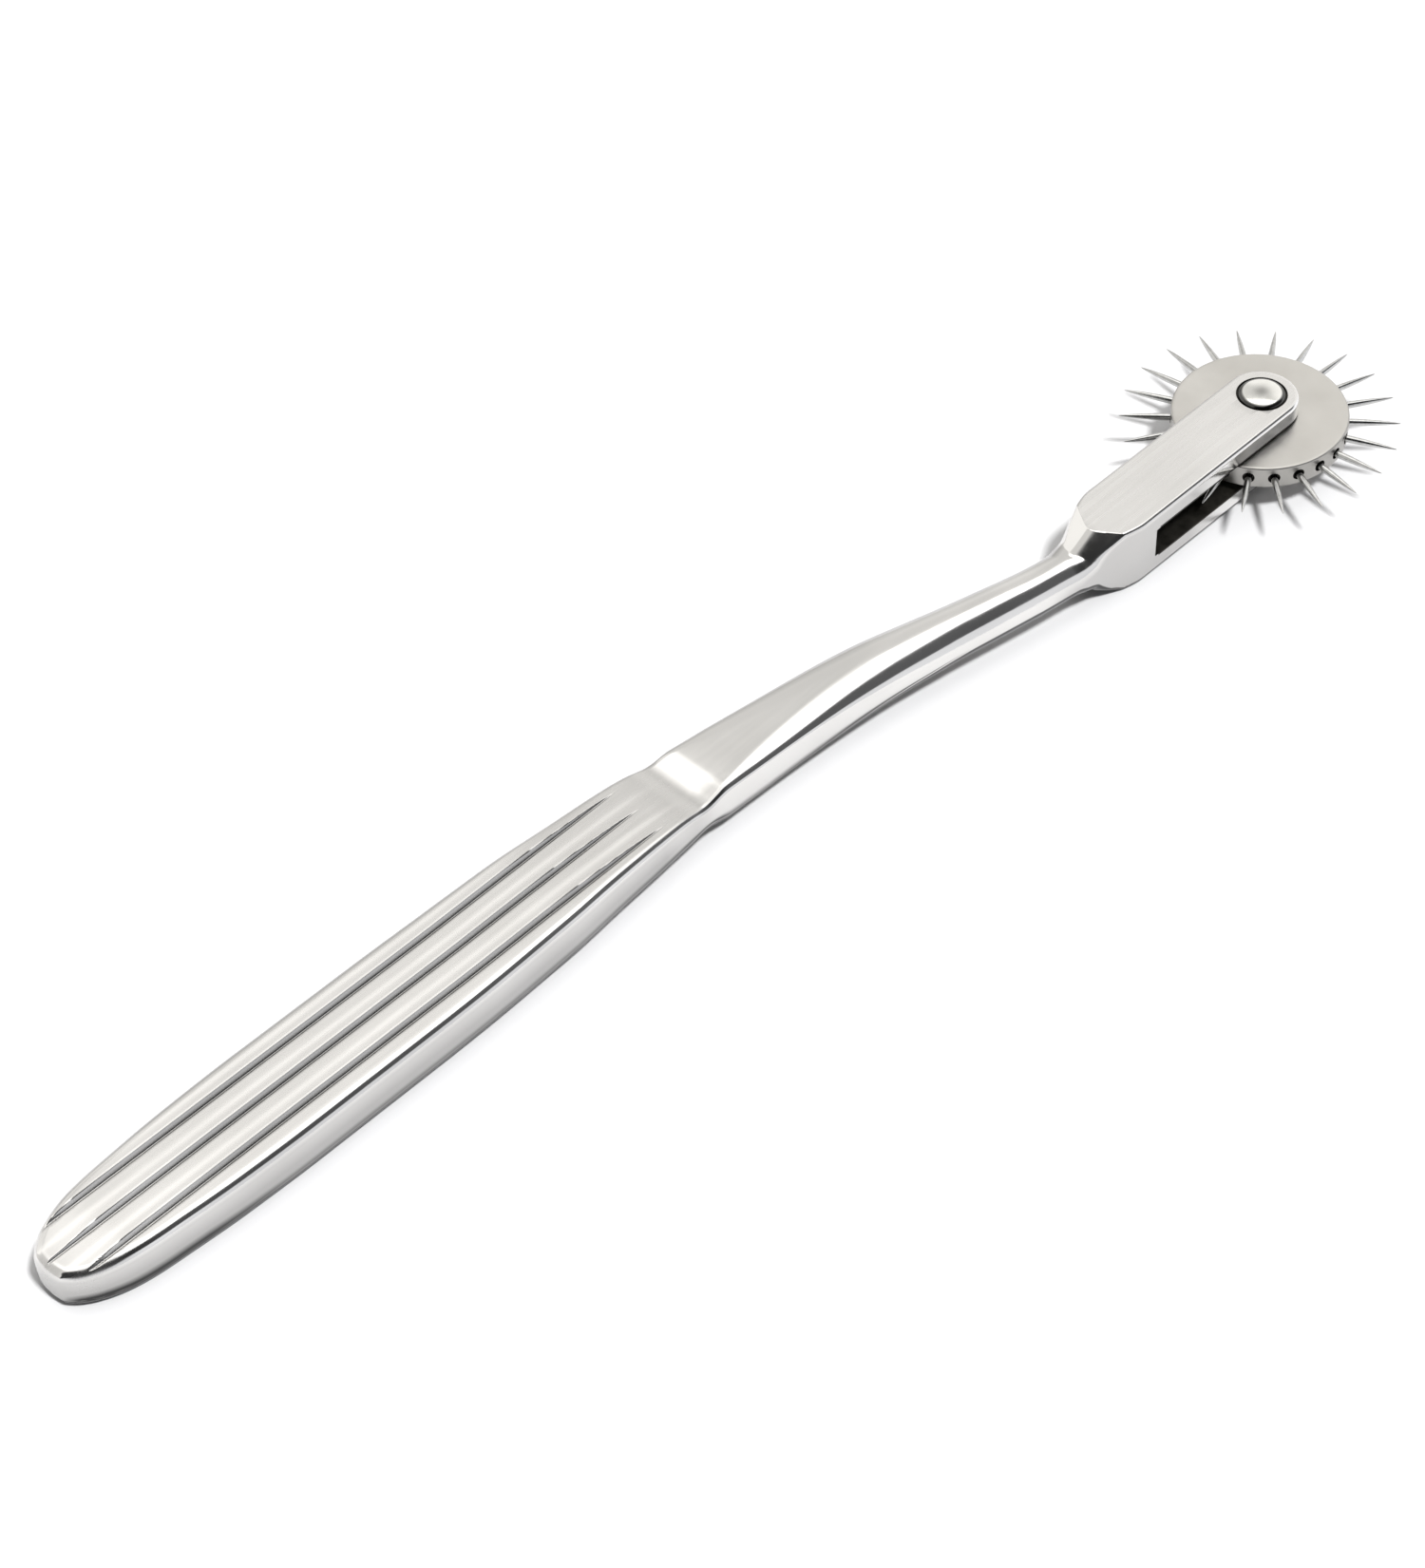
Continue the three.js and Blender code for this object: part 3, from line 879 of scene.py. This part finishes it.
class Nodes:
    """Short calls for the nodes that the materials below are made of."""

    def __init__(self, name, metallic=0.0):
        self.material = bpy.data.materials.new(name)
        self.material.use_nodes = True
        self.tree = self.material.node_tree
        self.shader = self.tree.nodes["Principled BSDF"]
        self.shader.inputs["Metallic"].default_value = metallic
        self.coordinates = self.tree.nodes.new("ShaderNodeTexCoord").outputs["Object"]

    def link(self, source, target):
        self.tree.links.new(source, target)

    def noise(self, per_metre, detail, rough):
        """Noise with its own number of cells per metre along X, Y and Z."""
        mapping = self.tree.nodes.new("ShaderNodeMapping")
        mapping.inputs["Scale"].default_value = per_metre
        self.link(self.coordinates, mapping.inputs["Vector"])
        node = self.tree.nodes.new("ShaderNodeTexNoise")
        node.inputs["Scale"].default_value = 1.0
        node.inputs["Detail"].default_value = detail
        node.inputs["Roughness"].default_value = rough
        self.link(mapping.outputs["Vector"], node.inputs["Vector"])
        return node.outputs["Fac"]

    def remap(self, value, low, high, to_low, to_high):
        node = self.tree.nodes.new("ShaderNodeMapRange")
        for name, number in (
            ("From Min", low),
            ("From Max", high),
            ("To Min", to_low),
            ("To Max", to_high),
        ):
            node.inputs[name].default_value = number
        self.link(value, node.inputs["Value"])
        return node.outputs["Result"]

    def add(self, a, b):
        node = self.tree.nodes.new("ShaderNodeMath")
        node.operation = "ADD"
        self.link(a, node.inputs[0])
        self.link(b, node.inputs[1])
        return node.outputs["Value"]

    def between(self, value, dark, light):
        """A colour between two tints, driven by the middle of a noise's range."""
        node = self.tree.nodes.new("ShaderNodeValToRGB")
        for element, at, colour in zip(node.color_ramp.elements, (0.3, 0.7), (dark, light)):
            element.position = at
            element.color = (*colour, 1)
        self.link(value, node.inputs["Fac"])
        return node.outputs["Color"]

    def bump(self, height, strength, distance, normal=None):
        node = self.tree.nodes.new("ShaderNodeBump")
        node.inputs["Strength"].default_value = strength
        node.inputs["Distance"].default_value = distance
        self.link(height, node.inputs["Height"])
        if normal is not None:
            self.link(normal, node.inputs["Normal"])
        return node.outputs["Normal"]

    def attribute(self, name):
        node = self.tree.nodes.new("ShaderNodeAttribute")
        node.attribute_name = name
        return node.outputs["Fac"]

    def toned(self, colour):
        """The colour made lighter or darker by the mesh's tone, which holds painted light and shade.
        """
        node = self.tree.nodes.new("ShaderNodeVectorMath")
        node.operation = "SCALE"
        self.link(colour, node.inputs[0])
        self.link(self.attribute("tone"), node.inputs["Scale"])
        return node.outputs["Vector"]

    def finish(self, colour, roughness, normal):
        """Links the three to the shader and gives the material."""
        self.link(colour, self.shader.inputs["Base Color"])
        self.link(roughness, self.shader.inputs["Roughness"])
        self.link(normal, self.shader.inputs["Normal"])
        return self.material


def forged_steel():
    """Satin with a grain along the handle, clouded, and polished where the mesh says so."""
    n = Nodes("forged_steel_satin", metallic=1.0)
    grain = n.noise((60, 1400, 1400), 4, 0.65)
    cloud = n.noise((90, 90, 90), 3, 0.5)
    speck = n.noise((800, 800, 800), 3, 0.6)
    colour = n.toned(n.between(cloud, (0.745, 0.735, 0.72), (0.80, 0.79, 0.775)))
    polished = n.remap(n.attribute("polish"), 0.0, 1.0, 0.26, 0.12)
    roughness = n.add(polished, n.remap(grain, 0.3, 0.7, -0.03, 0.04))
    grained = n.bump(grain, 0.02, 0.00005)
    speckled = n.bump(speck, 0.04, 0.00004, grained)
    return n.finish(colour, roughness, n.bump(cloud, 0.12, 0.0002, speckled))


def recess_shade_steel():
    """Painted shade: near-black steel inside the slot, the pin holes and the rivet's seats."""
    n = Nodes("painted_shade_recess_steel", metallic=0.8)
    speck = n.noise((500, 500, 500), 4, 0.6)
    colour = n.between(speck, (0.012, 0.011, 0.009), (0.045, 0.042, 0.036))
    return n.finish(colour, n.remap(speck, 0.3, 0.7, 0.38, 0.55), n.bump(speck, 0.3, 0.00006))


def turned_steel():
    """The disc: a fine matt satin, clouded, with painted shade on its rim."""
    n = Nodes("turned_steel_satin", metallic=1.0)
    speck = n.noise((900, 900, 900), 4, 0.6)
    cloud = n.noise((150, 150, 150), 2, 0.5)
    colour = n.toned(n.between(cloud, (0.555, 0.54, 0.51), (0.63, 0.615, 0.585)))
    return n.finish(colour, n.remap(speck, 0.3, 0.7, 0.3, 0.42), n.bump(speck, 0.25, 0.00005))


def pin_steel():
    """The pins: ground and polished, with a fine mottle."""
    n = Nodes("ground_pin_steel", metallic=1.0)
    mottle = n.noise((1500, 1500, 1500), 3, 0.6)
    colour = n.between(mottle, (0.46, 0.46, 0.45), (0.58, 0.58, 0.57))
    return n.finish(colour, n.remap(mottle, 0.3, 0.7, 0.1, 0.2), n.bump(mottle, 0.12, 0.00003))


def rivet_steel():
    """The rivet: polished; the head's middle has a painted dark reflection, its flank painted shade.
    """
    n = Nodes("polished_rivet_steel", metallic=1.0)
    speck = n.noise((700, 700, 700), 3, 0.6)
    colour = n.toned(n.between(speck, (0.84, 0.835, 0.80), (0.90, 0.895, 0.865)))
    return n.finish(colour, n.remap(speck, 0.3, 0.7, 0.08, 0.16), n.bump(speck, 0.1, 0.00004))


def dress(obj, material, second=None, takes_second=None):
    """Gives an object its material, and a second one to the faces that a test picks."""
    obj.data.materials.clear()
    obj.data.materials.append(material)
    if second is not None:
        obj.data.materials.append(second)
    for polygon in obj.data.polygons:
        polygon.material_index = int(takes_second is not None and takes_second(polygon))


# ------------------------------------------------------------------ the object

FORGED = forged_steel()
TURNED = turned_steel()
PIN = pin_steel()
RIVET = rivet_steel()
RECESS_SHADE = recess_shade_steel()

forging = make_forging()
# The walls of the slot and of the rivet's seats take the painted shade.
dress(forging, FORGED, RECESS_SHADE, in_slot)
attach(forging, "handle")
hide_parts("handle_and_fork")

rivet = make_rivet()
dress(rivet, RIVET)
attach(rivet, "handle")
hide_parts("axle_rivet")

disc = make_disc()
# The pins' holes take the painted shade.
dress(disc, TURNED, RECESS_SHADE, in_pin_hole)
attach(disc, "wheel")
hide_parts("wheel_disc")

for number in range(1, PIN_COUNT + 1):
    needle = make_pin(number)
    dress(needle, PIN)
    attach(needle, "wheel")
    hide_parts(f"pin_{number:02d}")

# ------------------------------------------------------------------ the camera and the floor

# The place is in metres, and angles are given in degrees.
CAMERA_AT = Vector((-0.19295, -0.1866, 0.2874))
CAMERA_AZIMUTH = math.radians(-134.07)
CAMERA_ELEVATION = math.radians(46.42)
CAMERA_ROLL = math.radians(-2.55)
CAMERA_REACH = (0.01, 20)
LENS = 84.0
SENSOR = 36.0


def add_camera():
    flat = math.cos(CAMERA_ELEVATION)
    back = Vector(
        (
            math.cos(CAMERA_AZIMUTH) * flat,
            math.sin(CAMERA_AZIMUTH) * flat,
            math.sin(CAMERA_ELEVATION),
        )
    )
    level = Vector((0, 0, 1)).cross(back).normalized()
    upright = back.cross(level)
    cos, sin = math.cos(CAMERA_ROLL), math.sin(CAMERA_ROLL)
    right = cos * level + sin * upright
    up = -sin * level + cos * upright
    data = bpy.data.cameras.new("camera")
    data.lens = LENS
    data.sensor_width = SENSOR
    data.sensor_fit = "AUTO"
    data.clip_start, data.clip_end = CAMERA_REACH
    obj = bpy.data.objects.new("camera", data)
    bpy.context.scene.collection.objects.link(obj)
    turn = Matrix((right, up, back)).transposed().to_4x4()
    obj.matrix_world = Matrix.Translation(CAMERA_AT) @ turn
    bpy.context.scene.camera = obj


FLOOR_HALF_SIZE = 3000.0
FLOOR_GAP = 0.01
FLOOR_MEETS_HANDLE_AT = 3


def add_floor():
    """A pale sheet under the piece, tipped so that it meets the rivet head and the handle's end."""
    rest_x, rest_z = AXLE[0], RIVET_LOW[2]
    end_x = OUTLINE_X + FLOOR_MEETS_HANDLE_AT
    end_z = MID_Z - half_thickness(FLOOR_MEETS_HANDLE_AT)
    slope = (end_z - rest_z) / (end_x - rest_x)
    bm = bmesh.new()
    corners = []
    for x, y in ((-1, -1), (1, -1), (1, 1), (-1, 1)):
        x, y = x * FLOOR_HALF_SIZE, y * FLOOR_HALF_SIZE
        corners.append(bm.verts.new((x, y, rest_z + slope * (x - rest_x) - FLOOR_GAP)))
    bm.faces.new(corners)
    obj = new_object("floor", bm)
    n = Nodes("pale_floor")
    n.shader.inputs["Roughness"].default_value = 0.8
    n.shader.inputs["Specular IOR Level"].default_value = 0.2
    cloud = n.noise((6, 6, 6), 3, 0.5)
    colour = n.between(cloud, (0.50, 0.50, 0.505), (0.52, 0.52, 0.525))
    n.link(colour, n.shader.inputs["Base Color"])
    dress(obj, n.material)


# ------------------------------------------------------------------ the light

# The tent's own colours, on the side away from the camera and on the camera's side.
FAR_SIDE = (0.78, 0.77, 0.75)
NEAR_SIDE = (0.90, 0.91, 0.94)
SIDES_MEET_Y = (-0.35, 0.15)

# Angles are in degrees. A patch's edge is this soft, and the one behind the camera twice that.
EDGE = 5.0

# The dark gap runs along X. Its middle leans towards -Y from straight up by GAP_AT. It is a little
# lighter towards +X and ends there.
GAP_AT = 34.0
GAP_HALF = 23.0
GAP_ENDS_X = (0.72, 0.86)
GAP_FILL_X = (0.0, 0.5)
GAP_FILL = 0.10

# The dark round patch behind the camera.
CAMERA_SIDE_AT = Vector((-0.48, -0.495, 0.724)).normalized()
CAMERA_SIDE_ANGLE = 33.0
DARKNESS = 0.96

# The tent is brighter towards +X, and has round bright panels: direction, angle and power.
WINDOW_X = (0.58, 0.70)
WINDOW = 0.4
PANELS = [
    (Vector((0.22, 0.12, 0.968)).normalized(), 24.0, 1.5),
    (Vector((0.0, 0.50, 0.866)).normalized(), 11.0, 0.7),
    (Vector((-0.12, 0.90, 0.42)).normalized(), 22.0, 0.5),
]

# Two suns: direction, power and angle.
SUNS = {
    "key": (Vector((0.0, -0.43, 0.90)), 5.0, 9.0),
    "fill": (Vector((-0.1, -0.2, 1.0)), 0.4, 60.0),
}


def add_world():
    """A white tent with bright panels, a dark gap in its near side and dark round the camera."""
    world = bpy.data.worlds.new("tent")
    bpy.context.scene.world = world
    world.use_nodes = True
    tree = world.node_tree
    tree.nodes.clear()

    def node(kind, **settings):
        made = tree.nodes.new(kind)
        for key, value in settings.items():
            setattr(made, key, value)
        return made

    def maths(operation, *values):
        made = node("ShaderNodeMath", operation=operation)
        for socket, value in zip(made.inputs, values):
            if isinstance(value, (int, float)):
                socket.default_value = value
            else:
                tree.links.new(value, socket)
        return made.outputs[0]

    def step(value, low, high, to_low, to_high):
        made = node("ShaderNodeMapRange", interpolation_type="SMOOTHSTEP")
        made.inputs["From Min"].default_value = low
        made.inputs["From Max"].default_value = high
        made.inputs["To Min"].default_value = to_low
        made.inputs["To Max"].default_value = to_high
        tree.links.new(value, made.inputs["Value"])
        return made.outputs["Result"]

    def disc_around(unit_vector, centre, angle, edge):
        dot = node("ShaderNodeVectorMath", operation="DOT_PRODUCT")
        tree.links.new(unit_vector, dot.inputs[0])
        dot.inputs[1].default_value = centre
        inner = math.cos(math.radians(angle - edge / 2))
        outer = math.cos(math.radians(angle + edge / 2))
        return step(dot.outputs["Value"], outer, inner, 0, 1)

    direction = node("ShaderNodeTexCoord").outputs["Generated"]
    unit = node("ShaderNodeVectorMath", operation="NORMALIZE")
    tree.links.new(direction, unit.inputs[0])
    split = node("ShaderNodeSeparateXYZ")
    tree.links.new(unit.outputs[0], split.inputs[0])
    x, y, z = split.outputs

    lean = maths("ARCTAN2", maths("MULTIPLY", y, -1.0), z)
    off = maths("ABSOLUTE", maths("SUBTRACT", lean, math.radians(GAP_AT)))
    near = math.radians(GAP_HALF - EDGE / 2)
    far = math.radians(GAP_HALF + EDGE / 2)
    gap = maths("MULTIPLY", step(off, near, far, 1, 0), step(x, *GAP_ENDS_X, 1, 0))
    gap = maths("MULTIPLY", gap, step(x, *GAP_FILL_X, 1, 1 - GAP_FILL))
    behind_camera = disc_around(unit.outputs[0], CAMERA_SIDE_AT, CAMERA_SIDE_ANGLE, 2 * EDGE)
    dark = maths("MULTIPLY", maths("MAXIMUM", gap, behind_camera), DARKNESS)

    tent = node("ShaderNodeMix", data_type="RGBA")
    tree.links.new(step(y, *SIDES_MEET_Y, 0, 1), tent.inputs[0])
    near_socket, far_socket = (s for s in tent.inputs if s.type == "RGBA")
    near_socket.default_value = (*NEAR_SIDE, 1)
    far_socket.default_value = (*FAR_SIDE, 1)
    tent_colour = next(s for s in tent.outputs if s.type == "RGBA")
    bright = step(x, *WINDOW_X, 1, 1 + WINDOW)
    for centre, angle, power in PANELS:
        panel = disc_around(unit.outputs[0], centre, angle, EDGE)
        bright = maths("ADD", bright, maths("MULTIPLY", panel, power))
    lit = maths("MULTIPLY", bright, maths("SUBTRACT", 1.0, dark))

    background = node("ShaderNodeBackground")
    tree.links.new(tent_colour, background.inputs["Color"])
    tree.links.new(lit, background.inputs["Strength"])
    output = node("ShaderNodeOutputWorld")
    tree.links.new(background.outputs[0], output.inputs["Surface"])


def add_sun(name, direction, power, angle):
    """A light that makes shadows and the floor's white, and no glint on the steel."""
    data = bpy.data.lights.new(name, "SUN")
    data.energy = power
    data.angle = math.radians(angle)
    obj = bpy.data.objects.new(name, data)
    bpy.context.scene.collection.objects.link(obj)
    obj.rotation_euler = direction.to_track_quat("Z", "Y").to_euler()
    obj.visible_glossy = False


add_camera()
add_floor()
add_world()
for sun_name, (sun_from, sun_power, sun_angle) in SUNS.items():
    add_sun(sun_name, sun_from, sun_power, sun_angle)

bpy.context.scene.view_settings.view_transform = "Standard"
bpy.context.scene.view_settings.look = "None"
